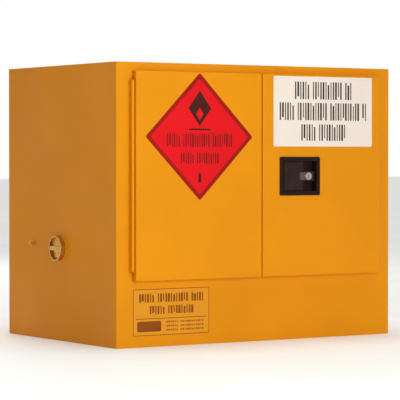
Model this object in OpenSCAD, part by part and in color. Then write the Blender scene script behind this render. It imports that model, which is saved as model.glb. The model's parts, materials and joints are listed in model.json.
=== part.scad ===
// Small two-door flammable storage cabinet: a double-walled folded sheet-steel body with a sump,
// doors on continuous hinges and a recessed paddle latch. Millimetres, Z up. The origin is on
// the floor, under the middle of the whole cabinet, and the doors face -Y.

/* [Cabinet] */
// Width over the side panels
body_w = 935; // [900:5:1000]
// Depth from the frame's front face to the back panel
body_d = 620; // [580:5:680]
// Height from the floor to the top panel
body_h = 780; // [760:5:840]
// Thickness of the sheet steel
sheet = 1.2; // [1:0.1:1.4]
// Air gap between the outer and the inner walls
wall_gap = 40; // [38:1:41]
// Width of the frame's front face beside the door opening
stile_w = 64.5; // [64:0.5:70]
// Height of the front sill under the door opening
sill_h = 197; // [190:1:210]
// Inside radius of a fold in the sheet
fold_r = 1.6; // [1:0.2:2]

/* [Doors] */
// Distance that the doors' front faces stand ahead of the frame
door_proud = 21; // [20:0.5:22]
// Gap between the frame's face and the doors' back lips
door_gap = 3.5; // [3.4:0.1:3.6]
// Clearance between the two doors
door_split = 3; // [3:0.2:4]
// Overlap of the doors on the frame at the bottom and at the hinge side
door_lap = 14; // [14:0.2:14.6]
// Overlap of the doors on the frame at the top
door_lap_top = 18; // [16:0.5:20]
// Reach of the doors' inner liners into the opening
plug_reach = 20; // [19:0.5:21]

/* [Hinges] */
// Outside radius of a hinge knuckle
knuckle_r = 5; // [4.8:0.1:5.2]
// Radius of the hinge pin
pin_r = 2.2; // [2:0.1:2.5]
// Height of one knuckle with its gap
knuckle_pitch = 20.8; // [18:0.2:21]
// Number of knuckles on each hinge
knuckles = 25; // [21:2:25]

/* [Latch] */
// Distance from the middle of the cabinet to the middle of the latch
latch_x = 129; // [125:1:132]
// Height of the middle of the latch above the floor
latch_z = 466.5; // [460:0.5:475]
// Width of the latch's front frame
bezel_w = 140; // [138:1:142]
// Height of the latch's front frame
bezel_h = 110; // [106:1:112]
// Distance that the tongue slides when the paddle is pulled
tongue_travel = 11; // [9:0.5:11]

/* [Inside] */
// Depth of the sump below its rim
sump_depth = 150; // [140:1:152]
// Height of the shelf's top face
shelf_z = 460; // [430:10:500]
// Radius of the bore of the vent ports
vent_r = 28.5; // [27:0.5:29]
// Height of the left vent port
vent_low_z = 262; // [260:1:290]
// Height of the right vent port
vent_high_z = 670; // [600:5:670]
// Distance from the frame's front face to the vent ports
vent_y = 315; // [310:5:340]

/* [Hidden] */
$fn = 48;

YELLOW = [0.90, 0.58, 0.05];
BLACK = [0.12, 0.11, 0.11];
ZINC = [0.68, 0.69, 0.70];
STEEL = [0.55, 0.56, 0.58];
CHROME = [0.82, 0.83, 0.84];
BRASS = [0.72, 0.55, 0.30];
RUBBER = [0.16, 0.16, 0.16];
RED = [0.85, 0.10, 0.10];
WHITE = [0.94, 0.94, 0.92];

// Frame and walls. Y is counted back from the frame's front face until at_front() moves it.
bezel_t = 3;
half_w = body_w / 2;
front_y = (door_proud + bezel_t - body_d) / 2;
wall = wall_gap + 2 * sheet;
open_half = half_w - stile_w;
open_top = body_h - wall;
inner_half = half_w - wall;
rear_flange = 20;
rim_z = wall + sump_depth;
rim_w = 20;
sump_half = inner_half - 0.3;
sump_near = wall + 0.3;
sump_far = body_d - wall - 0.3;

// Doors
door_front = -door_proud;
door_back = -door_gap;
door_in = door_split / 2;
door_out = open_half + door_lap;
door_low = sill_h - door_lap;
door_high = open_top + door_lap_top;
plug_in = door_in + 2 * fold_r + sheet + 1;
plug_out = open_half - 4;
plug_low = sill_h + 4;
plug_high = open_top - 4;
liner_flange = 8;

// Hinges
axis_x = door_out + knuckle_r + 0.5;
axis_y = -12;
hinge_low = (door_low + door_high - knuckles * knuckle_pitch) / 2;
hinge_high = hinge_low + knuckles * knuckle_pitch;
knuckle_gap = 0.4;
leaf_t = 1.5;
rivet_pitch = 4 * knuckle_pitch;
rivet_r = 2.1;
rivet_head_r = 4;
frame_rivet_x = axis_x - 9.5;
door_rivet_x = axis_x - 11.5;

// Latch
pan_w = bezel_w - 20;
pan_h = bezel_h - 20;
pan_t = 2;
pan_back = 1;
pan_left = latch_x - pan_w / 2 + pan_t;
pivot_x = pan_left + 6.5;
pivot_y = -11;
barrel_r = 5.5;
running_gap = 0.06;
lock_x = latch_x + 31;
lock_r = 9;
plug_r = 5.5;
cam_y = 6.5;
cam_t = 3;
cam_drop = 20.5;
cam_arm = 24;
cam_swing = asin(tongue_travel / 2 / cam_drop);
cam_pin_r = 2.5;
post_r = 4;
tongue_h = 12;
tongue_z = latch_z - cam_drop;
rod_r = 4;
rod_line = 11.5;
rod_end_gap = 1.2;
rod_up = cam_arm * sin(cam_swing);
guide_gap = 0.1;

// Inside
strip_depth = 8;
strip_w = 25;
strip_places = [120, 500];
strip_low = 215;
strip_slot_pitch = 40;
strip_slots = 12;
tray_half = inner_half - strip_depth - 5;
shelf_drop = 25;
vent_flange_r = 38;
vent_flange_t = 1.5;
bung_seal_t = 1.5;
earth_y = 464;
earth_z = 272;
earth_r = 4;
earth_root_r = 3.4;
nut_seat = 3;
nut_h = 5.5;

// Basic shapes

module at_front() {
    translate([0, front_y, 0]) children();
}

module block(low, high) {
    translate(low) cube(high - low);
}

module rod_x(r, from, to) {
    translate([from, 0, 0]) rotate([0, 90, 0]) cylinder(h = to - from, r = r);
}

module rod_y(r, from, to) {
    translate([0, from, 0]) rotate([-90, 0, 0]) cylinder(h = to - from, r = r);
}

module rod_z(r, from, to) {
    translate([0, 0, from]) cylinder(h = to - from, r = r);
}

// A plan outline raised from one height to another
module upright(from, to) {
    translate([0, 0, from]) linear_extrude(to - from) children();
}

// A side outline, drawn as [y, z], run across the cabinet
module across(from, to) {
    translate([from, 0, 0]) rotate([90, 0, 90]) linear_extrude(to - from) children();
}

// A front outline, drawn as [x, z], given a thickness in y
module facing(from, to) {
    translate([0, to, 0]) rotate([90, 0, 0]) linear_extrude(to - from) children();
}

module round_rect(w, h, r) {
    square([w - 2 * r, h], center = true);
    square([w, h - 2 * r], center = true);
    for (x = [-1, 1], y = [-1, 1])
        translate([x * (w / 2 - r), y * (h / 2 - r)]) circle(r);
}

// Folded sheet. A path of corners runs along the middle of the sheet, and every corner becomes
// an arc. Each entry of the traced line is [point, direction].

function unit(v) = v / norm(v);
function left_of(v) = [-v.y, v.x];
function turned(v, a) = [v.x * cos(a) - v.y * sin(a), v.x * sin(a) + v.y * cos(a)];

function fold_arc(a, b, c, r) =
    let (
        u = unit(b - a),
        v = unit(c - b),
        side = cross(u, v) > 0 ? 1 : -1,
        angle = acos(u * v),
        start = b - u * r * tan(angle / 2),
        centre = start + left_of(u) * r * side,
        steps = 6
    )
    [for (k = [0 : steps])
        let (w = side * angle * k / steps) [centre + turned(start - centre, w), turned(u, w)]];

function traced(path, r) =
    let (last = len(path) - 1)
    concat(
        [[path[0], unit(path[1] - path[0])]],
        [for (i = [1 : last - 1]) each fold_arc(path[i - 1], path[i], path[i + 1], r)],
        [[path[last], unit(path[last] - path[last - 1])]]
    );

module folded(path) {
    line = traced(path, fold_r + sheet / 2);
    count = len(line);
    polygon(concat(
        [for (p = line) p[0] + left_of(p[1]) * sheet / 2],
        [for (i = [1 : count]) let (p = line[count - i]) p[0] - left_of(p[1]) * sheet / 2]
    ));
}

// Outer shell

module side_outline(edge) {
    s = sheet / 2;
    folded(concat(
        [[half_w - rear_flange, body_d - s], [half_w - s, body_d - s], [half_w - s, s]],
        edge
    ));
}

// The stile's edge is folded back beside the door opening, and is flat above and below it.
module outer_side(vent_z, earth_hole) {
    s = sheet / 2;
    flat = [[open_half, s]];
    jamb = [[open_half + s, s], [open_half + s, wall - s], [inner_half + sheet, wall - s]];
    color(YELLOW) at_front() difference() {
        union() {
            upright(sheet, sill_h - sheet) side_outline(flat);
            upright(sill_h - sheet, open_top + sheet) side_outline(jamb);
            upright(open_top + sheet, body_h - sheet) side_outline(flat);
        }
        translate([0, vent_y, vent_z]) rod_x(vent_r + 2.7, half_w - 5, half_w + 5);
        if (earth_hole)
            translate([0, earth_y, earth_z]) rod_x(earth_r + 0.2, half_w - 5, half_w + 5);
        each_rivet() translate([frame_rivet_x, 0, 0]) rod_y(rivet_r, -5, 5);
    }
}

module outer_side_left() mirror([1, 0, 0]) outer_side(vent_low_z, true);
module outer_side_right() outer_side(vent_high_z, false);

// A flat plate over the whole plan, with its corners rounded like the side panels' folds
module plan_plate(low) {
    translate([0, body_d / 2, 0]) upright(low, low + sheet)
        round_rect(body_w, body_d, fold_r + sheet);
}

module outer_top() {
    s = sheet / 2;
    rear = half_w - rear_flange;
    color(YELLOW) at_front() difference() {
        union() {
            plan_plate(body_h - sheet);
            across(-open_half, open_half) folded([
                [s, body_h - s],
                [s, open_top + s],
                [wall - s, open_top + s],
                [wall - s, open_top + rear_flange]
            ]);
            block([-rear, body_d - sheet, body_h - rear_flange], [rear, body_d, body_h - s]);
        }
        translate([latch_x - cam_arm, rod_line, 0]) rod_z(rod_r + 2, open_top - 1, open_top + 3);
    }
}

module outer_back() {
    edge = half_w - sheet - fold_r;
    color(YELLOW) at_front() block(
        [-edge, body_d - 2 * sheet, sheet],
        [edge, body_d - sheet, body_h - sheet]
    );
}

module outer_base() {
    color(YELLOW) at_front() plan_plate(0);
}

module front_sill() {
    s = sheet / 2;
    color(YELLOW) at_front() difference() {
        across(-open_half, open_half) folded([
            [s, sheet],
            [s, sill_h - s],
            [wall - s, sill_h - s],
            [wall - s, sill_h - 12]
        ]);
        translate([latch_x + cam_arm, rod_line, 0]) rod_z(rod_r + 2, sill_h - 3, sill_h + 1);
    }
}

// Inner shell

module inner_side(vent_z) {
    color(YELLOW) at_front() difference() {
        block([inner_half, wall, wall - sheet], [inner_half + sheet, body_d - wall, open_top]);
        translate([0, vent_y, vent_z]) rod_x(vent_r + 2.7, inner_half - 5, inner_half + 5);
    }
}

module inner_side_left() mirror([1, 0, 0]) inner_side(vent_low_z);
module inner_side_right() inner_side(vent_high_z);

module inner_top() {
    color(YELLOW) at_front() block(
        [-inner_half - sheet, wall, open_top],
        [inner_half + sheet, body_d - wall, open_top + sheet]
    );
}

module inner_back() {
    color(YELLOW) at_front() block(
        [-inner_half - sheet, body_d - wall, wall - sheet],
        [inner_half + sheet, body_d - wall + sheet, open_top + sheet]
    );
}

// The sump is a plain pan. Flat rims on its sides carry the floor tray.

module sump_tray() {
    color(YELLOW) at_front() difference() {
        block([-sump_half, sump_near, wall - sheet], [sump_half, sump_far, rim_z - sheet]);
        block(
            [sheet - sump_half, sump_near + sheet, wall],
            [sump_half - sheet, sump_far - sheet, rim_z]
        );
    }
}

module sump_rims() {
    color(YELLOW) at_front() for (side = [0, 1]) mirror([side, 0, 0])
        block([sump_half - rim_w, sump_near, rim_z - sheet], [sump_half, sump_far, rim_z]);
}

// Z-section spacers that hold the two shells apart
module spacer_outline(gap) {
    s = sheet / 2;
    folded([[-14, s], [0, s], [0, gap - s], [14, gap - s]]);
}

module wall_spacers() {
    color(ZINC) at_front() {
        for (side = [0, 1], y = [200, 450]) mirror([side, 0, 0])
            translate([half_w - sheet, y, 0]) rotate(90)
                upright(60, open_top - 30) spacer_outline(wall_gap);
        for (x = [-220, 220]) {
            translate([x, body_d - wall + sheet, 0])
                upright(60, open_top - 30) spacer_outline(wall_gap - sheet);
            translate([x, wall + 10, open_top + sheet]) lying_spacer();
            translate([x, wall + 10, sheet]) lying_spacer();
        }
    }
}

module lying_spacer() {
    length = body_d - 2 * wall - 20;
    translate([0, length, 0]) rotate([90, 0, 0]) linear_extrude(length) spacer_outline(wall_gap);
}

// Shelf supports

module each_strip() {
    for (side = [0, 1], y = strip_places) mirror([side, 0, 0])
        translate([inner_half, y, 0]) children();
}

module shelf_strips() {
    s = sheet / 2;
    edge = strip_w / 2;
    top = strip_low + strip_slots * strip_slot_pitch + 20;
    color(ZINC) at_front() each_strip() difference() {
        upright(strip_low, top) folded([
            [0, s - edge],
            [s - strip_depth, s - edge],
            [s - strip_depth, edge - s],
            [0, edge - s]
        ]);
        for (k = [0 : strip_slots - 1]) {
            low = strip_low + 20 + k * strip_slot_pitch;
            block([-strip_depth - 1, -2, low], [2 * sheet - strip_depth, 2, low + 15]);
        }
    }
}

module shelf_clips() {
    face = -strip_depth;
    seat = shelf_z - shelf_drop;
    lug = strip_low + 20 + 4 * strip_slot_pitch + 2;
    color(ZINC) at_front() each_strip() {
        block([face - 1.7, -10, lug - 4], [face - 0.2, 10, seat]);
        block([face - 18, -10, seat - 1.5], [face - 1.7, 10, seat]);
        block([face - 0.2, -1.5, lug], [face + 4, 1.5, lug + 10]);
    }
}

// A field of round holes in a plate, centred on the origin
module hole_field(w, d, pitch, r) {
    columns = floor(w / pitch);
    rows = floor(d / pitch);
    for (i = [0 : columns], j = [0 : rows])
        translate([(i - columns / 2) * pitch, (j - rows / 2) * pitch]) circle(r, $fn = 24);
}

module shelf() {
    near = 60;
    far = body_d - wall - 18;
    low = shelf_z - shelf_drop;
    color(YELLOW) at_front() {
        difference() {
            block([-tray_half, near, low], [tray_half, far, shelf_z]);
            block(
                [sheet - tray_half, near + sheet, low + sheet],
                [tray_half - sheet, far - sheet, shelf_z - sheet]
            );
            block([12 - tray_half, near + 12, low - 1], [tray_half - 12, far - 12, low + 5]);
            translate([0, (near + far) / 2, 0]) upright(shelf_z - 3, shelf_z + 1)
                hole_field(2 * tray_half - 80, far - near - 80, 60, 9);
        }
    }
}

module floor_tray() {
    near = wall + 8;
    far = body_d - wall - 8;
    color(YELLOW) at_front() difference() {
        block([-tray_half, near, rim_z], [tray_half, far, sill_h]);
        block(
            [sheet - tray_half, near + sheet, rim_z - 1],
            [tray_half - sheet, far - sheet, sill_h - sheet]
        );
        translate([0, (near + far) / 2, 0]) upright(sill_h - 3, sill_h + 1)
            hole_field(2 * tray_half - 80, far - near - 80, 60, 10);
    }
}

// Vent ports, drawn on the right side at height zero

module vent_socket() {
    color(YELLOW) difference() {
        union() {
            rod_x(vent_flange_r, half_w, half_w + vent_flange_t);
            rod_x(vent_r + 2.5, inner_half - 6, half_w + 1);
        }
        rod_x(vent_r, inner_half - 7, half_w + vent_flange_t + 1);
    }
}

module flame_arrestor() {
    inner = inner_half - 6;
    mesh_pitch = 9;
    color(STEEL) {
        difference() {
            rod_x(vent_r + 5, inner - 1.5, inner_half);
            rod_x(vent_r + 2.6, inner, inner_half + 1);
            for (i = [-2 : 2], j = [-2 : 2])
                translate([0, i * mesh_pitch, j * mesh_pitch]) rod_x(3, inner - 3, inner + 1);
        }
    }
}

// A screw cap with notches round its rim, and a bar across its hollow face to turn it by
module vent_bung() {
    seat = half_w + vent_flange_t + bung_seal_t;
    face = half_w + 15;
    rim_r = vent_r + 7.5;
    hollow_r = rim_r - 4;
    hollow = 8;
    notches = 18;
    color(BRASS) {
        difference() {
            union() {
                rod_x(vent_r - 0.4, half_w - 16, seat);
                rod_x(rim_r, seat, face);
            }
            rod_x(hollow_r, face - hollow, face + 1);
            for (k = [0 : notches - 1]) rotate([360 * k / notches, 0, 0])
                translate([0, rim_r + 0.8, 0]) rod_x(2, seat + 1.5, face + 1);
        }
        block([face - hollow - 0.5, 0.5 - hollow_r, -5.5], [face - 1, hollow_r - 0.5, 5.5]);
    }
}

module bung_seal() {
    near = half_w + vent_flange_t;
    color(RUBBER) difference() {
        rod_x(vent_r + 6, near, near + bung_seal_t);
        rod_x(vent_r, near - 1, near + bung_seal_t + 1);
    }
}

module vent_left() at_front() translate([0, vent_y, vent_low_z]) mirror([1, 0, 0]) children();
module vent_right() at_front() translate([0, vent_y, vent_high_z]) children();

module vent_socket_left() vent_left() vent_socket();
module vent_socket_right() vent_right() vent_socket();
module flame_arrestor_left() vent_left() flame_arrestor();
module flame_arrestor_right() vent_right() flame_arrestor();
module vent_bung_left() vent_left() vent_bung();
module vent_bung_right() vent_right() vent_bung();
module bung_seal_left() vent_left() bung_seal();
module bung_seal_right() vent_right() bung_seal();

// Earth connection on the left side panel

module earth_place() {
    at_front() translate([0, earth_y, earth_z]) mirror([1, 0, 0]) children();
}

module earth_stud() {
    color(BRASS) earth_place() {
        rod_x(7, half_w - sheet - 3, half_w - sheet);
        rod_x(earth_root_r, half_w - sheet, half_w + 10);
        rod_x(earth_r, half_w + nut_seat + nut_h + 0.4, half_w + 14);
    }
}

module earth_nut() {
    color(BRASS) earth_place() {
        for (k = [0, 1]) difference() {
            rod_x(8.5 - k, half_w + 1.5 * k, half_w + 1.5 * k + 1.4);
            rod_x(earth_r + 0.3, half_w - 1, half_w + 6);
        }
        difference() {
            translate([half_w + nut_seat, 0, 0]) rotate([0, 90, 0])
                cylinder(h = nut_h, r = 7.5, $fn = 6);
            rod_x(earth_root_r + 0.05, half_w, half_w + 10);
        }
    }
}

// Hinges, drawn on the right side

module each_rivet() {
    middle = (hinge_low + hinge_high) / 2;
    for (k = [-3 : 3]) translate([0, 0, middle + k * rivet_pitch]) children();
}

// One half of the knuckles: first is 0 for the frame's and 1 for the door's
module knuckle_row(first) {
    for (k = [first : 2 : knuckles - 1])
        translate([0, 0, hinge_low + k * knuckle_pitch + knuckle_gap / 2]) children();
}

module frame_leaf() {
    web_h = knuckle_pitch - knuckle_gap;
    edge = axis_x + knuckle_r;
    color(YELLOW) at_front() difference() {
        union() {
            knuckle_row(0) {
                translate([axis_x, axis_y, 0]) cylinder(h = web_h, r = knuckle_r);
                block([edge - leaf_t, axis_y, 0], [edge, -leaf_t, web_h]);
            }
            block([edge - leaf_t, axis_y + knuckle_r - 0.5, hinge_low], [edge, -leaf_t, hinge_high]);
            block([open_half + 5.5, -leaf_t, hinge_low], [edge, 0, hinge_high]);
        }
        translate([axis_x, axis_y, 0]) rod_z(pin_r + 0.03, hinge_low - 1, hinge_high + 1);
        each_rivet() translate([frame_rivet_x, 0, 0]) {
            rod_y(rivet_r, -5, 5);
            rod_y(rivet_head_r, -leaf_t - 1, 0.8 - leaf_t);
        }
    }
}

module door_leaf() {
    web_h = knuckle_pitch - knuckle_gap;
    back = door_back + leaf_t;
    tail = axis_x - knuckle_r;
    color(YELLOW) at_front() difference() {
        union() {
            knuckle_row(1) {
                translate([axis_x, axis_y, 0]) cylinder(h = web_h, r = knuckle_r);
                block([tail, axis_y, 0], [tail + leaf_t, back, web_h]);
                block([tail - 3, door_back, 0], [tail + leaf_t, back, web_h]);
            }
            block([axis_x - 21.5, door_back, hinge_low], [door_out, back, hinge_high]);
        }
        translate([axis_x, axis_y, 0]) rod_z(pin_r + running_gap, hinge_low - 1, hinge_high + 1);
        each_rivet() translate([door_rivet_x, 0, 0]) {
            rod_y(rivet_r, -8, 5);
            rod_y(rivet_head_r, back - 0.8, back + 1);
        }
    }
}

module hinge_pin() {
    color(ZINC) at_front() translate([axis_x, axis_y, 0]) {
        rod_z(pin_r, hinge_low - 1, hinge_high + 1);
        rod_z(pin_r + 1.5, hinge_high + 0.5, hinge_high + 2);
        rod_z(pin_r + 1.5, hinge_low - 2, hinge_low - 0.5);
    }
}

module frame_rivet() {
    rod_y(rivet_head_r - 0.05, 0.1 - leaf_t, 0.8 - leaf_t);
    rod_y(rivet_r - 0.02, 0.8 - leaf_t, sheet);
    rod_y(rivet_head_r - 0.6, sheet, sheet + 2);
}

module door_rivets() {
    back = door_back + leaf_t;
    inside = door_back - sheet;
    color(ZINC) at_front() each_rivet() translate([door_rivet_x, 0, 0]) {
        rod_y(rivet_head_r - 0.05, back - 0.8, back - 0.1);
        rod_y(rivet_r - 0.02, inside, back - 0.8);
        rod_y(rivet_head_r - 1, inside - 2, inside);
    }
}

module frame_leaf_left() mirror([1, 0, 0]) frame_leaf();
module frame_leaf_right() frame_leaf();
module hinge_pin_left() mirror([1, 0, 0]) hinge_pin();
module hinge_pin_right() hinge_pin();
module left_door_leaf() mirror([1, 0, 0]) door_leaf();
module right_door_leaf() door_leaf();
module left_door_rivets() mirror([1, 0, 0]) door_rivets();
module right_door_rivets() door_rivets();

module frame_rivets() {
    color(ZINC) at_front() for (side = [0, 1]) mirror([side, 0, 0])
        each_rivet() translate([frame_rivet_x, 0, 0]) frame_rivet();
}

// Heat-expanding strip stuck to the frame round the opening
module door_seal() {
    near = 0.5;
    far = 4.5;
    color(RUBBER) at_front() difference() {
        block([-open_half - far, -1.8, sill_h - far], [open_half + far, 0, open_top + far]);
        block([-open_half - near, -3, sill_h - near], [open_half + near, 1, open_top + near]);
    }
}

// Doors, drawn on the right side

module door_shell() {
    s = sheet / 2;
    upright(door_low, door_high) folded([
        [plug_out + fold_r, door_back - s],
        [door_out - s, door_back - s],
        [door_out - s, door_front + s],
        [door_in + s, door_front + s],
        [door_in + s, door_back - s],
        [plug_in - fold_r, door_back - s]
    ]);
    for (z = [door_low, door_high - sheet]) block(
        [door_in + sheet, door_front + sheet, z],
        [door_out - sheet, door_back - sheet, z + sheet]
    );
    for (z = [[door_low, plug_low], [plug_high, door_high]]) block(
        [plug_in - 2 * fold_r, door_back - sheet, z[0]],
        [plug_out + 2 * fold_r, door_back, z[1]]
    );
}

// The liner's back corners are folded, and its top and bottom are closed with flat pieces.
module door_inner() {
    s = sheet / 2;
    flange_y = door_back - sheet - s;
    upright(plug_low, plug_high) folded([
        [plug_in - fold_r - 1, flange_y],
        [plug_in + s, flange_y],
        [plug_in + s, plug_reach - s],
        [plug_out - s, plug_reach - s],
        [plug_out - s, flange_y],
        [plug_out + liner_flange, flange_y]
    ]);
    for (z = [plug_low, plug_high - sheet]) block(
        [plug_in + sheet, flange_y - s, z],
        [plug_out - sheet, plug_reach - sheet, z + sheet]
    );
    for (z = [plug_low - liner_flange, plug_high]) block(
        [plug_in + sheet, flange_y - s, z],
        [plug_out - sheet, flange_y + s, z + liner_flange]
    );
}

module stiffener(x) {
    s = sheet / 2;
    near = door_front + sheet + s;
    far = plug_reach - sheet - s;
    color(ZINC) at_front() translate([x, 0, 0])
        upright(plug_low + 4, plug_high - 4) folded([[-20, near], [0, near], [0, far], [20, far]]);
}

// Window for the tongue in a door's meeting edge
module tongue_window() {
    block([door_in - 1, -13.4, tongue_z - 6.4], [door_in + 3, -8.6, tongue_z + 6.4]);
}

module left_door_skin() {
    color(YELLOW) at_front() mirror([1, 0, 0]) difference() {
        door_shell();
        tongue_window();
        each_rivet() translate([door_rivet_x, 0, 0]) rod_y(rivet_r, -8, 0);
    }
}

module right_door_skin() {
    gap = 0.2;
    color(YELLOW) at_front() difference() {
        door_shell();
        tongue_window();
        each_rivet() translate([door_rivet_x, 0, 0]) rod_y(rivet_r, -8, 0);
        translate([latch_x, 0, latch_z]) {
            facing(door_front - 1, door_front + 3) square([pan_w + gap, pan_h + gap], center = true);
            each_bezel_screw() rod_y(2, door_front - 1, door_front + 3);
        }
    }
}

module left_door_liner() {
    color(YELLOW) at_front() mirror([1, 0, 0]) door_inner();
}

module right_door_liner() {
    hole_r = rod_r + guide_gap;
    color(YELLOW) at_front() difference() {
        door_inner();
        translate([latch_x - cam_arm, rod_line, 0]) rod_z(hole_r, plug_high - 3, plug_high + 1);
        translate([latch_x + cam_arm, rod_line, 0]) rod_z(hole_r, plug_low - 1, plug_low + 3);
    }
}

module left_door_stiffener() mirror([1, 0, 0]) stiffener(210);
module right_door_stiffener() stiffener(290);

module tongue_keeper() {
    near = door_in + sheet;
    color(ZINC) at_front() mirror([1, 0, 0]) difference() {
        block([near, -15.5, tongue_z - 18], [near + 2, -7, tongue_z + 18]);
        block([near - 1, -13.4, tongue_z - 6.4], [near + 3, -8.6, tongue_z + 6.4]);
    }
}

// Strike plates inside the frame, ahead of the rods

module strike_plate() {
    difference() {
        block([-25, -8, 0], [25, 14, 3]);
        rod_z(rod_r + 1, -1, 4);
    }
}

module strike_plates() {
    color(ZINC) at_front() {
        translate([latch_x - cam_arm, rod_line, open_top + sheet]) strike_plate();
        translate([latch_x + cam_arm, rod_line, sill_h - sheet - 3]) strike_plate();
    }
}

// Labels

module capacity_label() {
    color(YELLOW) at_front() translate([-290.5, 0, 95]) facing(-0.4, 0) round_rect(250, 130, 4);
}

module hazard_diamond() {
    color(RED) at_front() translate([-211, 0, 577])
        facing(door_front - 0.4, door_front) rotate(45) round_rect(250, 250, 5);
}

module notice_sign() {
    color(WHITE) at_front() translate([213, 0, 651])
        facing(door_front - 0.4, door_front) round_rect(350, 200, 4);
}

// Latch

module each_bezel_screw() {
    for (x = [-1, 1], z = [-1, 1])
        translate([x * (bezel_w / 2 - 5), 0, z * (bezel_h / 2 - 5)]) children();
}

module latch_housing() {
    face = door_front - bezel_t;
    inner_w = pan_w - 2 * pan_t;
    inner_h = pan_h - 2 * pan_t;
    color(BLACK) at_front() translate([latch_x, 0, latch_z]) difference() {
        union() {
            facing(face, door_front) round_rect(bezel_w, bezel_h, 4);
            block([-pan_w / 2, door_front, -pan_h / 2], [pan_w / 2, pan_back, pan_h / 2]);
            rod_y(post_r, pan_back, cam_y + cam_t + 4);
        }
        block([-inner_w / 2, face - 1, -inner_h / 2], [inner_w / 2, pan_back - pan_t, inner_h / 2]);
        translate([pivot_x - latch_x, 0, tongue_z - latch_z])
            block([-4, -5, -7], [13, pan_back + 1, 7]);
        translate([pivot_x - latch_x, pivot_y, 0]) rod_z(pin_r + 0.03, 1 - pan_h / 2, pan_h / 2 - 1);
        each_bezel_screw() {
            rod_y(2, face - 1, door_front + 1);
            rod_y(3.7, face - 1, face + 1.5);
        }
    }
}

module latch_screws() {
    face = door_front - bezel_t;
    color(BLACK) at_front() translate([latch_x, 0, latch_z]) each_bezel_screw() difference() {
        union() {
            rod_y(3.6, face + 0.2, face + 1.5);
            rod_y(1.95, face + 1.5, face + 9);
        }
        translate([0, face + 0.1, 0]) rotate([-90, 0, 0]) cylinder(h = 0.9, r = 1.6, $fn = 6);
    }
}

module paddle_pin() {
    color(ZINC) at_front() translate([pivot_x, pivot_y, latch_z])
        rod_z(pin_r, 1 - pan_h / 2, pan_h / 2 - 1);
}

// Return spring round the paddle's pin, drawn as a tube swept along a helix
module paddle_spring() {
    turns = 7;
    coil_r = 4.1;
    wire_r = 0.7;
    rise = 2.2;
    sides = 8;
    rings = turns * 12;
    function on_coil(k) = let (a = 360 * k / 12) [coil_r * cos(a), coil_r * sin(a), rise * k / 12];
    function section(k) = let (a = 360 * k / 12, out = [cos(a), sin(a), 0])
        [for (i = [0 : sides - 1])
            let (w = 360 * i / sides) on_coil(k) + wire_r * (out * cos(w) + [0, 0, sin(w)])];
    points = [for (k = [0 : rings]) each section(k)];
    walls = [for (k = [0 : rings - 1], i = [0 : sides - 1])
        let (a = k * sides + i, b = k * sides + (i + 1) % sides) [a, a + sides, b + sides, b]];
    ends = [
        [for (i = [0 : sides - 1]) i],
        [for (i = [1 : sides]) (rings + 1) * sides - i]
    ];
    color(ZINC) at_front() translate([pivot_x, pivot_y, latch_z - turns * rise / 2])
        polyhedron(points, concat(walls, ends));
}

// The paddle turns about the pin at its left, and its tail reaches back through the housing.
module latch_paddle() {
    plate_y = pivot_y - barrel_r - 3.5;
    top = 41;
    spring_room = 9.5;
    plate_right = latch_x + 13;
    tongue_right = latch_x + 52;
    color(BLACK) at_front() translate([0, 0, latch_z]) difference() {
        union() {
            block([pivot_x - 1, plate_y, -top], [plate_right, plate_y + 3.5, top]);
            block([plate_right - 2.5, plate_y, -top], [plate_right, plate_y + 9, top]);
            block([pivot_x + 6, plate_y, top - 2.5], [plate_right, plate_y + 9, top]);
            block([pivot_x + 6, plate_y, -top], [plate_right, plate_y + 9, 2.5 - top]);
            block([plate_right - 1, plate_y, -14], [tongue_right, plate_y + 3.5, 14]);
            translate([lock_x, 0, 0]) rod_y(lock_r + 3, plate_y, plate_y + 12);
            for (side = [0, 1]) mirror([0, 0, side]) {
                translate([pivot_x, pivot_y, 0]) rod_z(barrel_r, spring_room, top);
                block([pivot_x, plate_y + 2, spring_room], [pivot_x + barrel_r, pivot_y, top]);
            }
            translate([pivot_x, pivot_y, tongue_z - latch_z]) block([-2.5, 0, -5], [2.5, 19, 5]);
        }
        translate([pivot_x, pivot_y, 0]) rod_z(pin_r + running_gap, -top - 1, top + 1);
        translate([lock_x, 0, 0]) rod_y(lock_r, plate_y - 1, plate_y + 13);
    }
}

module lock_barrel() {
    face = door_front - 2;
    color(CHROME) at_front() translate([lock_x, 0, latch_z]) difference() {
        union() {
            rod_y(lock_r + 2, face, pivot_y - barrel_r - 3.5);
            rod_y(lock_r, face + 1, -5);
        }
        rod_y(plug_r + running_gap, face - 1, -4);
    }
}

module lock_plug() {
    face = door_front - 2;
    color(CHROME) at_front() translate([lock_x, 0, latch_z]) difference() {
        union() {
            rod_y(plug_r, face + 0.3, -4.5);
            block([-3, -4.5, -2], [3, -3, 8]);
        }
        block([-0.8, face - 1, -3.5], [0.8, face + 8, 3.5]);
    }
}

// The cam at rest is turned so that its left arm is up and its lever is to the left.
module latch_cam() {
    arm_w = 10;
    color(STEEL) at_front() translate([latch_x, 0, latch_z]) rotate([0, cam_swing, 0]) {
        difference() {
            union() {
                facing(cam_y, cam_y + cam_t) {
                    circle(9);
                    square([2 * cam_arm, arm_w], center = true);
                    for (x = [-cam_arm, cam_arm]) translate([x, 0]) circle(arm_w / 2);
                    translate([-arm_w / 2, -cam_drop]) square([arm_w, cam_drop]);
                    translate([0, -cam_drop]) circle(arm_w / 2);
                }
                translate([0, 0, -cam_drop]) rod_y(cam_pin_r, cam_y - 3.2, cam_y + 1);
                for (x = [-cam_arm, cam_arm])
                    translate([x, 0, 0]) rod_y(cam_pin_r, cam_y + 1, cam_y + cam_t + 4);
            }
            rod_y(post_r + running_gap, cam_y - 1, cam_y + cam_t + 1);
        }
    }
}

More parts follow.
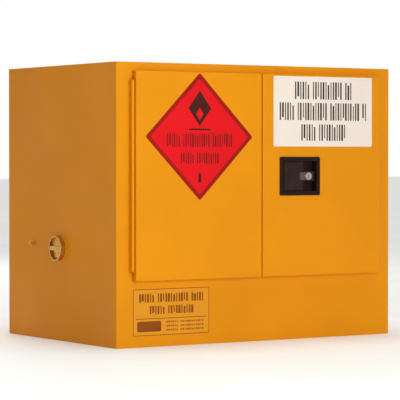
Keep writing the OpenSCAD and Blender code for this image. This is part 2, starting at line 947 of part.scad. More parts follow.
module latch_tongue() {
    low = tongue_z - tongue_h / 2;
    high = tongue_z + tongue_h / 2;
    lever_x = latch_x - tongue_travel / 2;
    bar_y = cam_y - 3.5;
    step_x = pan_left - pan_t - tongue_travel - 1;
    color(ZINC) at_front() difference() {
        union() {
            block([0.3, -13, low], [step_x, -9, high]);
            block([step_x - 4, -13, low], [step_x, bar_y + 3, high]);
            block([step_x - 4, bar_y, low], [latch_x + 11, bar_y + 3, high]);
        }
        block([pivot_x - 4.7, bar_y - 1, tongue_z - 5.5], [pivot_x + 4.7, bar_y + 4, tongue_z + 5.5]);
        block([lever_x - 2.8, bar_y - 1, tongue_z - 3], [lever_x + 2.8, bar_y + 4, tongue_z + 4]);
    }
}

// A rod drawn upwards from its foot, which the cam's pin carries in a cross slot
module latch_rod(length) {
    foot_y = cam_y + cam_t + 0.5;
    slot_h = cam_pin_r + 0.35;
    slot_w = cam_pin_r + 1.5;
    color(STEEL) difference() {
        union() {
            block([-8, foot_y, -7], [8, foot_y + 3, 24]);
            translate([0, rod_line, 0]) rod_z(rod_r, 18, length);
        }
        block([-slot_w, foot_y - 1, -slot_h], [slot_w, foot_y + 4, slot_h]);
    }
}

module latch_rod_top() {
    foot_z = latch_z + rod_up;
    at_front() translate([latch_x - cam_arm, 0, foot_z])
        latch_rod(open_top - rod_end_gap - foot_z);
}

module latch_rod_bottom() {
    foot_z = latch_z - rod_up;
    at_front() translate([latch_x + cam_arm, 0, foot_z]) mirror([0, 0, 1])
        latch_rod(foot_z - sill_h - rod_end_gap);
}

module rod_guides() {
    liner_face = plug_reach - sheet;
    color(ZINC) at_front() {
        for (z = [550, 700]) translate([latch_x - cam_arm, 0, z]) rod_guide(liner_face);
        for (z = [240, 380]) translate([latch_x + cam_arm, 0, z]) rod_guide(liner_face);
    }
}

module rod_guide(liner_face) {
    difference() {
        block([-9, 5, -6], [9, liner_face, 6]);
        translate([0, rod_line, 0]) rod_z(rod_r + guide_gap, -7, 7);
    }
}

outer_side_left();
outer_side_right();
outer_top();
outer_back();
outer_base();
front_sill();
inner_side_left();
inner_side_right();
inner_top();
inner_back();
sump_tray();
sump_rims();
wall_spacers();
shelf_strips();
shelf_clips();
vent_socket_left();
vent_socket_right();
flame_arrestor_left();
flame_arrestor_right();
earth_stud();
earth_nut();
frame_leaf_left();
frame_leaf_right();
hinge_pin_left();
hinge_pin_right();
frame_rivets();
door_seal();
strike_plates();
capacity_label();
left_door_skin();
left_door_liner();
left_door_stiffener();
left_door_leaf();
left_door_rivets();
hazard_diamond();
tongue_keeper();
right_door_skin();
right_door_liner();
right_door_stiffener();
right_door_leaf();
right_door_rivets();
notice_sign();
latch_housing();
latch_screws();
paddle_pin();
paddle_spring();
rod_guides();
latch_paddle();
lock_barrel();
lock_plug();
latch_cam();
latch_tongue();
latch_rod_top();
latch_rod_bottom();
shelf();
floor_tray();
vent_bung_left();
vent_bung_right();
bung_seal_left();
bung_seal_right();
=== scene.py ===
import json
import math

import bmesh
import bpy
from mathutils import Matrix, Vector


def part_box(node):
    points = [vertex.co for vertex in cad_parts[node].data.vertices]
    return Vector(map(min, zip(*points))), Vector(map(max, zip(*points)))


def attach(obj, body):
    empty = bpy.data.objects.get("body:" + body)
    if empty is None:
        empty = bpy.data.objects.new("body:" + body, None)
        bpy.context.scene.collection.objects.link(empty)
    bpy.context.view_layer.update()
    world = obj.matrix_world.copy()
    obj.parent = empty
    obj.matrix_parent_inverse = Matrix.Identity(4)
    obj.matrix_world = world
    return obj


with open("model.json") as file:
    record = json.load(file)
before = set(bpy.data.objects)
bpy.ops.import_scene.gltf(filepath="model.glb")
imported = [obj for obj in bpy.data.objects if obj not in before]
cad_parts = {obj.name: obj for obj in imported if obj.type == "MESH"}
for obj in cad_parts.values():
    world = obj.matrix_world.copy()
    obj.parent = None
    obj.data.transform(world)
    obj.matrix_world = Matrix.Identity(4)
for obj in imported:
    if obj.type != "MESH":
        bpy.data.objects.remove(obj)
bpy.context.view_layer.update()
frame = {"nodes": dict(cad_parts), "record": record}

NODES = frame["nodes"]
SCENE = bpy.context.scene
MM = 0.001

# The camera stands well back with a long lens, low and to the left of the doors. Its place is in
# metres, its angles in degrees, and its lens and sensor in millimetres.
CAMERA_AT = Vector((-3.418, -5.249, 0.520))
CAMERA_YAW = 33.05
CAMERA_PITCH = -1.15
CAMERA_LENS = 191.2
CAMERA_SENSOR = 36.0
CAMERA_CLIP = (0.05, 200.0)

# Thickness of the cabinet's sheet steel, and width of the flanges behind its back edges
SHEET = 1.2 * MM
REAR_FLANGE = 20 * MM

# Linear colours
YELLOW = (0.72, 0.247, 0.002)
YELLOW_WORN = (0.90, 0.42, 0.06)
ZINC = (0.52, 0.53, 0.54)
ZINC_DARK = (0.34, 0.35, 0.37)
STEEL = (0.42, 0.42, 0.43)
BLACK = (0.017, 0.006, 0.004)
PADDLE = (0.026, 0.011, 0.010)
BRASS = (0.74, 0.42, 0.11)
RUBBER = (0.022, 0.022, 0.022)
SEAL = (0.10, 0.095, 0.09)
CHROME = (0.47, 0.40, 0.35)
RED = (0.70, 0.003, 0.008)
DARK_RED = (0.33, 0.005, 0.001)
MAROON = (0.050, 0.006, 0.004)
BROWN = (0.185, 0.042, 0.001)
WHITE = (0.80, 0.665, 0.65)
PRINT = (0.022, 0.017, 0.016)
LABEL_YELLOW = (0.72, 0.27, 0.012)
SATIN = (0.088, 0.058, 0.060)
FLOOR_LOW = (0.86, 0.86, 0.86)
FLOOR_HIGH = (0.90, 0.90, 0.895)
SURROUNDINGS = (1.0, 1.0, 1.0)
SURROUNDINGS_LEFT = (0.74, 0.66, 0.58)


# ---------------------------------------------------------------- materials

def set_range(node, span, to):
    """Fills in a Map Range node."""
    node.inputs["From Min"].default_value, node.inputs["From Max"].default_value = span
    node.inputs["To Min"].default_value, node.inputs["To Max"].default_value = to


class Paint:
    """One node-based material, with short ways to add what the finishes here need."""

    def __init__(self, name, roughness, metallic=0.0, specular=0.5):
        self.material = bpy.data.materials.new(name)
        self.material.use_nodes = True
        self.tree = self.material.node_tree
        self.bsdf = self.tree.nodes["Principled BSDF"]
        self.bsdf.inputs["Roughness"].default_value = roughness
        self.bsdf.inputs["Metallic"].default_value = metallic
        self.bsdf.inputs["Specular IOR Level"].default_value = specular
        self.place = self.node("ShaderNodeTexCoord").outputs["Object"]
        self.relief = None

    def node(self, kind, **values):
        made = self.tree.nodes.new(kind)
        for key, value in values.items():
            setattr(made, key, value)
        return made

    def link(self, a, b):
        self.tree.links.new(a, b)

    def stretched(self, scale):
        mapping = self.node("ShaderNodeMapping")
        mapping.inputs["Scale"].default_value = scale
        self.link(self.place, mapping.inputs["Vector"])
        return mapping.outputs["Vector"]

    def noise(self, scale, detail=2.0, rough=0.5, stretch=None):
        made = self.node("ShaderNodeTexNoise")
        made.inputs["Scale"].default_value = scale
        made.inputs["Detail"].default_value = detail
        made.inputs["Roughness"].default_value = rough
        self.link(self.stretched(stretch) if stretch else self.place, made.inputs["Vector"])
        return made.outputs["Fac"]

    def cells(self, scale):
        made = self.node("ShaderNodeTexVoronoi", feature="SMOOTH_F1")
        made.inputs["Scale"].default_value = scale
        self.link(self.place, made.inputs["Vector"])
        return made.outputs["Distance"]

    def ranged(self, value, span, to=(0.0, 1.0)):
        """Maps the values across a span smoothly onto another pair, and holds its ends beyond."""
        made = self.node("ShaderNodeMapRange", interpolation_type="SMOOTHSTEP")
        set_range(made, span, to)
        self.link(value, made.inputs["Value"])
        return made.outputs["Result"]

    def mixed(self, factor, a, b):
        """Colour a where the factor is 0, b where it is 1. Each is a colour or a socket."""
        made = self.node("ShaderNodeMix", data_type="RGBA")
        self.link(factor, made.inputs["Factor"])
        for socket, colour in ((made.inputs["A"], a), (made.inputs["B"], b)):
            if isinstance(colour, tuple):
                socket.default_value = (*colour, 1)
            else:
                self.link(colour, socket)
        return made.outputs["Result"]

    def product(self, a, b):
        """The product of a socket with a number or another socket, kept within 0 and 1."""
        made = self.node("ShaderNodeMath", operation="MULTIPLY", use_clamp=True)
        for socket, value in zip(made.inputs, (a, b)):
            if isinstance(value, float):
                socket.default_value = value
            else:
                self.link(value, socket)
        return made.outputs["Value"]

    def edges(self, radius):
        """1 along convex and concave edges, 0 on flats."""
        rounded = self.node("ShaderNodeBevel", samples=4)
        rounded.inputs["Radius"].default_value = radius
        plain = self.node("ShaderNodeNewGeometry")
        agreement = self.node("ShaderNodeVectorMath", operation="DOT_PRODUCT")
        self.link(rounded.outputs["Normal"], agreement.inputs[0])
        self.link(plain.outputs["Normal"], agreement.inputs[1])
        return self.ranged(agreement.outputs["Value"], (0.80, 0.995), (1.0, 0.0))

    def colour(self, value):
        self.link(value, self.bsdf.inputs["Base Color"])

    def roughness(self, value):
        self.link(value, self.bsdf.inputs["Roughness"])

    def bump(self, height, depth, strength):
        """Adds fine relief, on top of any added before it."""
        made = self.node("ShaderNodeBump")
        made.inputs["Strength"].default_value = strength
        made.inputs["Distance"].default_value = depth
        self.link(height, made.inputs["Height"])
        if self.relief is not None:
            self.link(self.relief, made.inputs["Normal"])
        self.relief = made.outputs["Normal"]
        self.link(self.relief, self.bsdf.inputs["Normal"])


def shade(colour, factor):
    return tuple(min(1.0, c * factor) for c in colour)


def powder_coat(name, colour, edge=None, dirt=0.0):
    """Powder-coated sheet: orange peel, faint clouds and, with an edge colour, worn folds."""
    p = Paint(name, roughness=0.42, specular=0.11)
    cloud = p.ranged(p.noise(3.2, 4.0), (0.3, 0.7))
    base = p.mixed(cloud, shade(colour, 0.955), shade(colour, 1.03))
    speck = p.ranged(p.noise(900.0, 1.0), (0.66, 0.80))
    base = p.mixed(p.product(speck, 0.35), base, shade(colour, 0.72))
    if edge:
        patches = p.ranged(p.noise(46.0, 3.0), (0.35, 0.7), (0.25, 1.0))
        wear = p.product(p.edges(1.4 * MM), patches)
        base = p.mixed(p.product(wear, 0.45), base, edge)
    if dirt:
        smudge = p.ranged(p.noise(7.0, 5.0, 0.6), (0.52, 0.78))
        base = p.mixed(p.product(smudge, dirt), base, shade(colour, 0.62))
    p.colour(base)
    p.roughness(p.ranged(p.noise(5.0, 3.0), (0.3, 0.7), (0.36, 0.50)))
    p.bump(p.noise(300.0, 2.0, 0.55), 0.22 * MM, 0.5)
    p.bump(p.noise(1400.0, 1.0), 0.03 * MM, 0.35)
    return p.material


def plated(name, colour, dark, roughness=0.34, grain=(1.0, 1.0, 1.0), scale=240.0):
    """Plated, drawn or turned metal: mottled, with fine grain along one direction and a painted
    highlight along its edges.
    """
    p = Paint(name, roughness=roughness, metallic=1.0)
    mottle = p.ranged(p.noise(60.0, 4.0, 0.6), (0.35, 0.68))
    base = p.mixed(mottle, dark, colour)
    # Painted highlight: the edges are mixed towards a brighter copy of the colour.
    p.colour(p.mixed(p.product(p.edges(0.5 * MM), 0.5), base, shade(colour, 1.35)))
    streak = p.noise(scale, 3.0, 0.6, stretch=grain)
    p.roughness(p.ranged(streak, (0.3, 0.7), (roughness - 0.08, roughness + 0.12)))
    p.bump(streak, 0.04 * MM, 0.4)
    return p.material


def moulded(name, colour, roughness=0.5, grain=900.0, depth=0.12 * MM, specular=0.11):
    """Moulded plastic with a leather-like grain, and a painted highlight along its edges."""
    p = Paint(name, roughness=roughness, specular=specular)
    patch = p.ranged(p.noise(35.0, 3.0), (0.35, 0.7))
    base = p.mixed(patch, shade(colour, 0.85), shade(colour, 1.2))
    # Painted highlight: the edges are mixed towards a much lighter copy of the colour.
    p.colour(p.mixed(p.product(p.edges(0.8 * MM), 0.6), base, shade(colour, 3.2)))
    p.roughness(p.ranged(p.noise(70.0, 2.0), (0.3, 0.7), (roughness - 0.08, roughness + 0.1)))
    p.bump(p.cells(grain), depth, 0.6)
    return p.material


def rubber(name, colour):
    """Matt rubber with a faint grey bloom."""
    roughness = 0.75
    p = Paint(name, roughness=roughness, specular=0.3)
    bloom = p.ranged(p.noise(90.0, 4.0), (0.4, 0.75))
    p.colour(p.mixed(bloom, colour, shade(colour, 1.9)))
    p.roughness(p.ranged(p.noise(160.0, 2.0), (0.3, 0.7), (roughness - 0.1, roughness + 0.1)))
    p.bump(p.noise(700.0, 2.0), 0.08 * MM, 0.5)
    return p.material


def vinyl(name, colour, dark, roughness=0.34, worn=None):
    """Vinyl film stuck on paint: nearly flat colour, with the paint's texture faint under it."""
    p = Paint(name, roughness=roughness, specular=0.14)
    fade = p.ranged(p.noise(9.0, 4.0), (0.3, 0.72))
    base = p.mixed(fade, dark, colour)
    if worn:
        base = p.mixed(p.product(p.edges(1.2 * MM), 0.5), base, worn)
    p.colour(base)
    p.roughness(p.ranged(p.noise(22.0, 3.0), (0.3, 0.7), (roughness - 0.06, roughness + 0.1)))
    p.bump(p.noise(260.0, 2.0), 0.08 * MM, 0.35)
    return p.material


def polished(name, colour):
    """Polished metal with fine swirls."""
    p = Paint(name, roughness=0.13, metallic=1.0)
    swirl = p.ranged(p.noise(150.0, 4.0, 0.65), (0.4, 0.7))
    p.colour(p.mixed(swirl, shade(colour, 0.9), colour))
    p.roughness(p.ranged(p.noise(420.0, 3.0), (0.3, 0.7), (0.09, 0.24)))
    p.bump(p.noise(500.0, 2.0), 0.01 * MM, 0.3)
    return p.material


def floor_finish():
    p = Paint("studio_floor", roughness=0.65, specular=0.2)
    p.colour(p.mixed(p.ranged(p.noise(2.0, 3.0), (0.3, 0.7)), FLOOR_LOW, FLOOR_HIGH))
    return p.material


# The material of every slot that the CAD nodes name
PAINTS = {
    "body_paint": powder_coat("body_paint", YELLOW),
    "door_paint": powder_coat("door_paint", YELLOW, YELLOW_WORN),
    "tray_paint": powder_coat("tray_paint", YELLOW, YELLOW_WORN, dirt=0.25),
    "zinc": plated("zinc", ZINC, ZINC_DARK),
    "brass": plated("brass", BRASS, shade(BRASS, 0.80), 0.29),
    "spring_steel": plated("spring_steel", STEEL, shade(STEEL, 0.6), 0.25, (1, 1, 9), 400.0),
    "mesh_steel": plated("mesh_steel", STEEL, shade(STEEL, 0.6), 0.38),
    "rod_steel": plated("rod_steel", STEEL, shade(STEEL, 0.7), 0.28, (9, 9, 0.6), 160.0),
    "latch_black": moulded("latch_black", BLACK),
    "paddle_black": moulded("paddle_black", PADDLE, 0.42, 1100.0, 0.07 * MM),
    "screw_black": moulded("screw_black", shade(BLACK, 0.8), 0.4, 1500.0, 0.04 * MM),
    "lock_chrome": polished("lock_chrome", CHROME),
    "seal": rubber("seal", SEAL),
    "rubber_seal": rubber("rubber_seal", RUBBER),
    "red_label": vinyl("red_label", RED, shade(RED, 0.93), worn=shade(RED, 1.4)),
    "white_sign": vinyl("white_sign", WHITE, shade(WHITE, 0.965), 0.4),
    "yellow_label": vinyl("yellow_label", LABEL_YELLOW, shade(LABEL_YELLOW, 0.95), 0.38),
}

# Inks of the labels, and the grey plate round the lock
PRINT_BLACK = vinyl("print_black", PRINT, shade(PRINT, 1.5), 0.42)
PRINT_RED = vinyl("print_dark_red", DARK_RED, shade(DARK_RED, 0.85), 0.42)
PRINT_MAROON = vinyl("print_maroon", MAROON, shade(MAROON, 1.3), 0.42)
PRINT_BROWN = vinyl("print_brown", BROWN, shade(BROWN, 1.4), 0.42)
SATIN_GREY = moulded("satin_grey", SATIN, 0.36, 1200.0, 0.04 * MM, 0.3)


def finish_cad_nodes():
    """Gives every CAD node the material of its slot."""
    slots = {part["node"]: part["material_slot"] for part in frame["record"]["subparts"]}
    for name, node in NODES.items():
        node.data.materials.clear()
        node.data.materials.append(PAINTS[slots[name]])


def soften(node, width):
    """Rounds a folded or machined CAD piece's sharp edges, by modifiers only."""
    joined = node.modifiers.new("weld", "WELD")
    joined.merge_threshold = 0.002 * MM
    bevel = node.modifiers.new("bevel", "BEVEL")
    bevel.width = width
    bevel.segments = 2
    bevel.limit_method = "ANGLE"
    bevel.angle_limit = math.radians(40)
    bevel.harden_normals = True
    node.modifiers.new("normals", "WEIGHTED_NORMAL").keep_sharp = False
    node.data.shade_smooth()


# ---------------------------------------------------------------- mesh pieces

def piece(name, body, material, bm):
    """Turns a finished bmesh, in metres in the frame, into a piece that rides on a body."""
    mesh = bpy.data.meshes.new(name)
    bmesh.ops.recalc_face_normals(bm, faces=bm.faces)
    bm.to_mesh(mesh)
    bm.free()
    mesh.materials.append(material)
    made = bpy.data.objects.new(name, mesh)
    SCENE.collection.objects.link(made)
    mesh.shade_smooth()
    mesh.set_sharp_from_angle(angle=math.radians(35))
    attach(made, body)


# Outlines are lists of (x, z) points in metres, as seen from the front.

def raised(bm, outline, y, thickness):
    """Adds a flat shape that stands out of the plane y towards the front, by its thickness."""
    back = [bm.verts.new((x, y, z)) for x, z in outline]
    front = [bm.verts.new((x, y - thickness, z)) for x, z in outline]
    bm.faces.new(front)
    bm.faces.new(list(reversed(back)))
    for i in range(len(outline)):
        j = (i + 1) % len(outline)
        bm.faces.new((back[i], back[j], front[j], front[i]))


def ring(bm, outer, inner, y, thickness):
    """Adds a flat closed band between two outlines with the same number of points."""
    levels = [[bm.verts.new((x, y - t, z)) for x, z in line]
              for t in (0, thickness) for line in (outer, inner)]
    back_out, back_in, front_out, front_in = levels
    for i in range(len(outer)):
        j = (i + 1) % len(outer)
        bm.faces.new((front_out[i], front_out[j], front_in[j], front_in[i]))
        bm.faces.new((back_out[j], back_out[i], back_in[i], back_in[j]))
        bm.faces.new((back_out[i], back_out[j], front_out[j], front_out[i]))
        bm.faces.new((back_in[j], back_in[i], front_in[i], front_in[j]))


def round_rect(cx, cz, w, h, r, turn=0.0):
    """Outline of a rounded rectangle, turned about its centre by an angle in degrees."""
    steps = 6
    points = []
    for corner, (sx, sz) in enumerate(((1, 1), (-1, 1), (-1, -1), (1, -1))):
        for k in range(steps + 1):
            a = math.radians(90 * corner + 90 * k / steps)
            x = sx * (w / 2 - r) + r * math.cos(a)
            z = sz * (h / 2 - r) + r * math.sin(a)
            points.append((x, z))
    t = math.radians(turn)
    return [(cx + x * math.cos(t) - z * math.sin(t), cz + x * math.sin(t) + z * math.cos(t))
            for x, z in points]


def angles(count):
    """Evenly spaced angles over a full turn."""
    return [2 * math.pi * k / count for k in range(count)]


def circle(cx, cz, r):
    return [(cx + r * math.cos(a), cz + r * math.sin(a)) for a in angles(32)]


def lozenge(cx, cz, w, h):
    return [(cx, cz + h / 2), (cx - w / 2, cz), (cx, cz - h / 2), (cx + w / 2, cz)]


def label_box(node):
    """Centre x and z, width, height and front plane of a flat label."""
    low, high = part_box(node)
    centre = (low + high) / 2
    size = high - low
    return centre.x, centre.z, size.x, size.z, low.y


# Thickness of printed ink and film on a label
INK = 0.06 * MM


def bar(bm, cx, z, width, height, y):
    """One printed bar with slightly rounded corners."""
    raised(bm, round_rect(cx, z, width, height, 0.18 * min(width, height)), y, INK)


def strokes(bm, cx, z, width, height, pitch, cover, y):
    """One row of plain upright strokes in groups. It stands for a printed line and spells nothing.

    The strokes take up the share `cover` of their pitch. Every 13th is left out, the widths vary in
    a cycle of five, and every fourth stroke is shorter, at its foot and at its top by turns.
    """
    count = int(width / pitch)
    widths = (1.0, 1.35, 0.75, 1.15, 0.70)
    for k in range(count):
        if k % 13 == 6:
            continue
        short = 0.16 * height if k % 4 == 1 else 0.0
        rise = short / 2 if k % 8 == 1 else -short / 2
        x = cx + (k - (count - 1) / 2) * pitch
        bar(bm, x, z + rise, pitch * cover * widths[k % 5], height - short, y)


def print_diamond():
    """A nested lozenge, a rule, two rows of strokes and a dark border, on the square label."""
    cx, cz, w, h, y = label_box("hazard_diamond")
    side = w / math.sqrt(2) + 3 * MM
    margin = 0.6 * MM
    border = 11.2 * MM
    mark_z = cz + 0.225 * h
    pitch, cover = 0.0215 * w, 0.42
    mark = bmesh.new()
    raised(mark, lozenge(cx, mark_z, 0.215 * w, 0.280 * h), y, INK)
    bar(mark, cx, cz + 0.058 * h, 0.20 * w, 0.012 * h, y)
    piece("diamond_mark", "left_door", PRINT_MAROON, mark)
    core = bmesh.new()
    raised(core, lozenge(cx, mark_z - 0.045 * h, 0.070 * w, 0.100 * h), y - INK, INK)
    piece("diamond_mark_core", "left_door", PAINTS["red_label"], core)
    rows = bmesh.new()
    strokes(rows, cx, cz - 0.028 * h, 0.64 * w, 0.104 * h, pitch, cover, y)
    strokes(rows, cx, cz - 0.169 * h, 0.37 * w, 0.086 * h, pitch, cover, y)
    bar(rows, cx, cz - 0.325 * h, 0.026 * w, 0.072 * h, y)
    piece("diamond_rows", "left_door", PRINT_MAROON, rows)
    edge = bmesh.new()
    outer_side = side - margin
    inner_side = outer_side - 2 * border
    outer = round_rect(cx, cz, outer_side, outer_side, 5 * MM, 45)
    inner = round_rect(cx, cz, inner_side, inner_side, 4 * MM, 45)
    ring(edge, outer, inner, y, INK)
    piece("diamond_border", "left_door", PRINT_RED, edge)


def print_notice():
    """Three rows of strokes."""
    cx, cz, w, h, y = label_box("notice_sign")
    bm = bmesh.new()
    pitch = 0.0255 * w
    for rise, length, height in ((0.300, 0.60, 0.250), (0.0, 0.90, 0.250), (-0.300, 0.47, 0.235)):
        strokes(bm, cx, cz + rise * h, length * w, height * h, pitch, 0.52, y)
    piece("notice_print", "right_door", PRINT_BLACK, bm)


def print_capacity():
    """Two rows of strokes over a rule, then a block with three small rows beside it, in a frame."""
    cx, cz, w, h, y = label_box("capacity_label")
    bm = bmesh.new()
    pitch, cover = 0.034 * w, 0.62
    strokes(bm, cx, cz + 0.30 * h, 0.88 * w, 0.185 * h, pitch, cover, y)
    strokes(bm, cx, cz + 0.045 * h, 0.58 * w, 0.175 * h, pitch, cover, y)
    bar(bm, cx - 0.29 * w, cz - 0.30 * h, 0.31 * w, 0.22 * h, y)
    for k in range(3):
        z = cz - (0.215 + 0.085 * k) * h
        strokes(bm, cx + 0.19 * w, z, 0.52 * w, 0.040 * h, 0.026 * w, 0.55, y)
    bar(bm, cx, cz - 0.135 * h, 0.92 * w, 0.014 * h, y)
    ring(bm, round_rect(cx, cz, w - 2 * MM, h - 2 * MM, 4 * MM),
         round_rect(cx, cz, w - 5.5 * MM, h - 5.5 * MM, 2.5 * MM), y, INK)
    piece("capacity_print", "root", PRINT_BROWN, bm)


# ---------------------------------------------------------------- small fittings

def tube(bm, points, radius, closed=False, sides=8):
    """A round bead along a line of points. Its ends are capped unless it is closed."""
    count = len(points)
    loops = []
    for k, at in enumerate(points):
        before = points[k - 1] if closed or k else at
        after = points[(k + 1) % count] if closed or k + 1 < count else at
        ahead = (after - before).normalized()
        across = first - ahead * first.dot(ahead) if loops else ahead.orthogonal()
        first = across.normalized()
        second = ahead.cross(first)
        loops.append([bm.verts.new(at + radius * (first * math.cos(a) + second * math.sin(a)))
                      for a in angles(sides)])
    for k in range(count if closed else count - 1):
        here, there = loops[k], loops[(k + 1) % count]
        for i in range(sides):
            j = (i + 1) % sides
            bm.faces.new((here[i], here[j], there[j], there[i]))
    if not closed:
        bm.faces.new(loops[0])
        bm.faces.new(list(reversed(loops[-1])))


def hoop(bm, centre, radius, thick, steps=48):
    """A closed bead round an axis that runs along x."""
    line = [centre + radius * Vector((0, math.cos(a), math.sin(a))) for a in angles(steps)]
    tube(bm, line, thick, closed=True, sides=6)


def weld(bm, start, end, radius):
    """A weld bead between two points, with every second ripple a little higher."""
    ripple_pitch = 2.4 * MM
    steps = max(4, int((end - start).length / ripple_pitch))
    ahead = (end - start) / steps
    lift = ahead.orthogonal().normalized() * (0.18 * radius)
    tube(bm, [start + ahead * k + lift * (k % 2) for k in range(steps + 1)], radius)


def middle(node):
    low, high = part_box(node)
    return (low + high) / 2


def back_welds():
    """Stitch welds along the inner edge of the back flanges, on the recessed back panel."""
    stitch = 26 * MM
    radius = 0.9 * MM
    low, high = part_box("outer_back")
    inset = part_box("outer_side_right")[1].x - REAR_FLANGE
    bm = bmesh.new()
    y = high.y
    for side in (-1, 1):
        for k in range(7):
            z = low.z + (60 + 105 * k) * MM
            weld(bm, Vector((side * inset, y, z)), Vector((side * inset, y, z + stitch)), radius)
    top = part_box("outer_top")[1].z - REAR_FLANGE
    for k in range(-4, 5):
        x = k * 100 * MM
        weld(bm, Vector((x - stitch / 2, y, top)), Vector((x + stitch / 2, y, top)), radius)
    piece("back_welds", "root", PAINTS["body_paint"], bm)


def sump_welds():
    """Liquid-tight weld along the sump's bottom edges and up its corners."""
    radius = 1.6 * MM
    low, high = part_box("sump_tray")
    a, b = low + Vector((SHEET, SHEET, SHEET)), high - Vector((SHEET, SHEET, 0))
    bm = bmesh.new()
    for y in (a.y, b.y):
        weld(bm, Vector((a.x, y, a.z)), Vector((b.x, y, a.z)), radius)
    for x in (a.x, b.x):
        weld(bm, Vector((x, a.y, a.z)), Vector((x, b.y, a.z)), radius)
        for y in (a.y, b.y):
            weld(bm, Vector((x, y, a.z)), Vector((x, y, b.z - 4 * MM)), radius)
    piece("sump_welds", "root", PAINTS["tray_paint"], bm)


def liner_sealant():
    """Sealant in the corners of the inner shell, down to just above the sump's rims."""
    radius = 1.8 * MM
    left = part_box("inner_side_left")[1].x
    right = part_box("inner_side_right")[0].x
    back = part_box("inner_back")[0].y
    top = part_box("inner_top")[0].z
    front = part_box("inner_top")[0].y
    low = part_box("sump_rims")[1].z + 2 * MM
    bm = bmesh.new()
    for x in (left, right):
        tube(bm, [Vector((x, back, low)), Vector((x, back, top))], radius)
        tube(bm, [Vector((x, front + 3 * MM, top)), Vector((x, back, top))], radius)
    tube(bm, [Vector((left, back, top)), Vector((right, back, top))], radius)
    piece("liner_sealant", "root", PAINTS["seal"], bm)


def vent_details(side):
    """Sealant round one vent socket, and the thread on its bung's neck."""
    out = -1 if side == "left" else 1
    socket = middle(f"vent_socket_{side}")
    low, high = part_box(f"outer_side_{side}")
    face = low.x if out < 0 else high.x
    box_low, box_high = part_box(f"vent_socket_{side}")
    radius = (box_high.z - box_low.z) / 2
    bead = bmesh.new()
    hoop(bead, Vector((face, socket.y, socket.z)), radius, 0.9 * MM)
    piece(f"vent_bead_{side}", "root", PAINTS["body_paint"], bead)
    neck_r = 28.1 * MM
    thread = bmesh.new()
    for k in range(8):
        x = face - out * (14.5 - 2.4 * k) * MM
        hoop(thread, Vector((x, socket.y, socket.z)), neck_r, 0.28 * MM)
    piece(f"bung_thread_{side}", f"bung_{side}", PAINTS["brass"], thread)


def stud_thread():
    """Thread ridges on the earth stud's free end."""
    low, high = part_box("earth_stud")
    centre = (low + high) / 2
    bm = bmesh.new()
    for k in range(4):
        x = low.x + (0.8 + 1.25 * k) * MM
        hoop(bm, Vector((x, centre.y, centre.z)), 3.9 * MM, 0.25 * MM, 24)
    piece("earth_stud_thread", "root", PAINTS["brass"], bm)


def door_buffers():
    """Small stepped rubber buffers on the frame, behind the doors' top and bottom edges."""
    height = 2.0 * MM
    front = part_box("front_sill")[0].y
    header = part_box("inner_top")[0].z + 11 * MM
    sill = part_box("front_sill")[1].z - 8 * MM
    bm = bmesh.new()
    for x in (-330, -45, 45, 330):
        for z in (header, sill):
            raised(bm, circle(x * MM, z, 3.6 * MM), front, height)
            raised(bm, circle(x * MM, z, 2.6 * MM), front - height, 0.6 * MM)
    piece("door_buffers", "root", PAINTS["rubber_seal"], bm)


def paddle_details():
    """Low grip ribs on the latch's paddle, and the grey plate beside its lock."""
    relief = 0.5 * MM
    low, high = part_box("latch_paddle")
    tall = high.z - low.z
    centre = (high.z + low.z) / 2
    ribs = bmesh.new()
    for k in range(4):
        x = low.x + (16 + 4 * k) * MM
        raised(ribs, round_rect(x, centre, 1.4 * MM, 0.62 * tall, 0.6 * MM), low.y, relief)
    piece("paddle_ribs", "paddle", PAINTS["paddle_black"], ribs)
    barrel = middle("lock_barrel")
    plate = bmesh.new()
    outline = round_rect(barrel.x - 12 * MM, barrel.z, 34 * MM, 21 * MM, 3 * MM)
    raised(plate, outline, low.y, relief)
    piece("lock_surround", "paddle", SATIN_GREY, plate)


# ---------------------------------------------------------------- studio

def make_camera():
    yaw = math.radians(CAMERA_YAW)
    pitch = math.radians(CAMERA_PITCH)
    level = math.cos(pitch)
    ahead = Vector((math.sin(yaw) * level, math.cos(yaw) * level, math.sin(pitch)))
    data = bpy.data.cameras.new("photo_camera")
    data.lens = CAMERA_LENS
    data.sensor_width = CAMERA_SENSOR
    data.clip_start, data.clip_end = CAMERA_CLIP
    camera = bpy.data.objects.new("photo_camera", data)
    camera.location = CAMERA_AT
    camera.rotation_mode = "QUATERNION"
    camera.rotation_quaternion = ahead.to_track_quat("-Z", "Y")
    SCENE.collection.objects.link(camera)
    SCENE.camera = camera


def softbox(name, at, target, size, power, colour=(1.0, 1.0, 1.0)):
    """A rectangular area light that faces its target. Places and sizes are in metres."""
    data = bpy.data.lights.new(name, "AREA")
    data.shape = "RECTANGLE"
    data.size, data.size_y = size
    data.energy = power
    data.color = colour
    light = bpy.data.objects.new(name, data)
    light.location = at
    light.rotation_mode = "QUATERNION"
    light.rotation_quaternion = (Vector(target) - Vector(at)).to_track_quat("-Z", "Y")
    SCENE.collection.objects.link(light)


def zenith_light():
    """Soft light from straight above, which keeps the whole floor pale."""
    data = bpy.data.lights.new("zenith", "SUN")
    data.energy = 2.1
    data.angle = math.radians(50)
    light = bpy.data.objects.new("zenith", data)
    light.location = (0.0, 0.0, 5.0)
    SCENE.collection.objects.link(light)


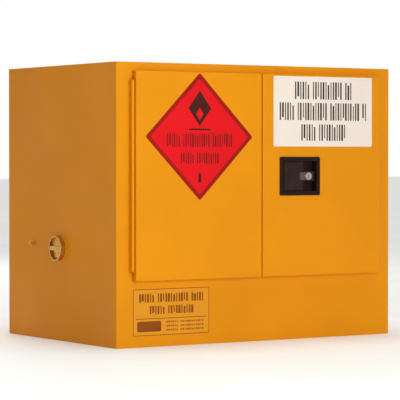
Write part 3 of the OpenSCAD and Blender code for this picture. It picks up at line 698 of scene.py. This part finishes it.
def make_world():
    """Pale surroundings, brightest in a band along the horizon, and a little darker on the left."""
    world = bpy.data.worlds.new("studio")
    world.use_nodes = True
    nodes, links = world.node_tree.nodes, world.node_tree.links
    background = nodes["Background"]
    place = nodes.new("ShaderNodeTexCoord")
    direction = nodes.new("ShaderNodeSeparateXYZ")
    height = nodes.new("ShaderNodeMath")
    height.operation = "ABSOLUTE"
    band = nodes.new("ShaderNodeMapRange")
    band.interpolation_type = "SMOOTHSTEP"
    set_range(band, (0.08, 0.25), (1.0, 0.20))
    leftness = nodes.new("ShaderNodeMapRange")
    set_range(leftness, (-0.25, -0.85), (0.0, 1.0))
    tint = nodes.new("ShaderNodeMix")
    tint.data_type = "RGBA"
    tint.inputs["A"].default_value = (*SURROUNDINGS, 1)
    tint.inputs["B"].default_value = (*SURROUNDINGS_LEFT, 1)
    links.new(place.outputs["Generated"], direction.inputs["Vector"])
    links.new(direction.outputs["X"], leftness.inputs["Value"])
    links.new(leftness.outputs["Result"], tint.inputs["Factor"])
    links.new(tint.outputs["Result"], background.inputs["Color"])
    links.new(direction.outputs["Z"], height.inputs[0])
    links.new(height.outputs["Value"], band.inputs["Value"])
    links.new(band.outputs["Result"], background.inputs["Strength"])
    SCENE.world = world


def make_floor():
    """A wide floor, a hair below the cabinet's base."""
    half = 40.0
    z = -0.2 * MM
    bm = bmesh.new()
    corners = ((-half, -half), (half, -half), (half, half), (-half, half))
    bm.faces.new([bm.verts.new((x, y, z)) for x, y in corners])
    mesh = bpy.data.meshes.new("studio_floor")
    bm.to_mesh(mesh)
    bm.free()
    mesh.materials.append(floor_finish())
    floor = bpy.data.objects.new("studio_floor", mesh)
    SCENE.collection.objects.link(floor)


def make_studio():
    SCENE.view_settings.view_transform = "Standard"
    make_world()
    make_floor()
    key_colour = (1.0, 1.15, 0.90)
    softbox("key", (-0.8, -3.4, 1.0), (-2.0, -0.3, 0.4), (1.8, 1.6), 59.0, key_colour)
    softbox("back", (0.8, 4.0, 2.6), (0.0, 0.2, 0.4), (2.4, 1.8), 40.0)
    zenith_light()


# ---------------------------------------------------------------- the model

FOLDED = ["outer_back", "left_door_skin", "right_door_skin", "left_door_liner", "right_door_liner",
          "shelf", "floor_tray", "sump_tray", "sump_rims", "shelf_strips", "shelf_clips"]
MACHINED = ["latch_housing", "latch_paddle", "lock_barrel", "vent_socket_left", "vent_socket_right",
            "vent_bung_left", "vent_bung_right", "earth_nut", "earth_stud"]
FOLDED_ROUNDING = 0.35 * MM
MACHINED_ROUNDING = 0.5 * MM

finish_cad_nodes()
for name in FOLDED:
    soften(NODES[name], FOLDED_ROUNDING)
for name in MACHINED:
    soften(NODES[name], MACHINED_ROUNDING)

print_diamond()
print_notice()
print_capacity()
back_welds()
sump_welds()
liner_sealant()
vent_details("left")
vent_details("right")
stud_thread()
door_buffers()
paddle_details()

make_camera()
make_studio()
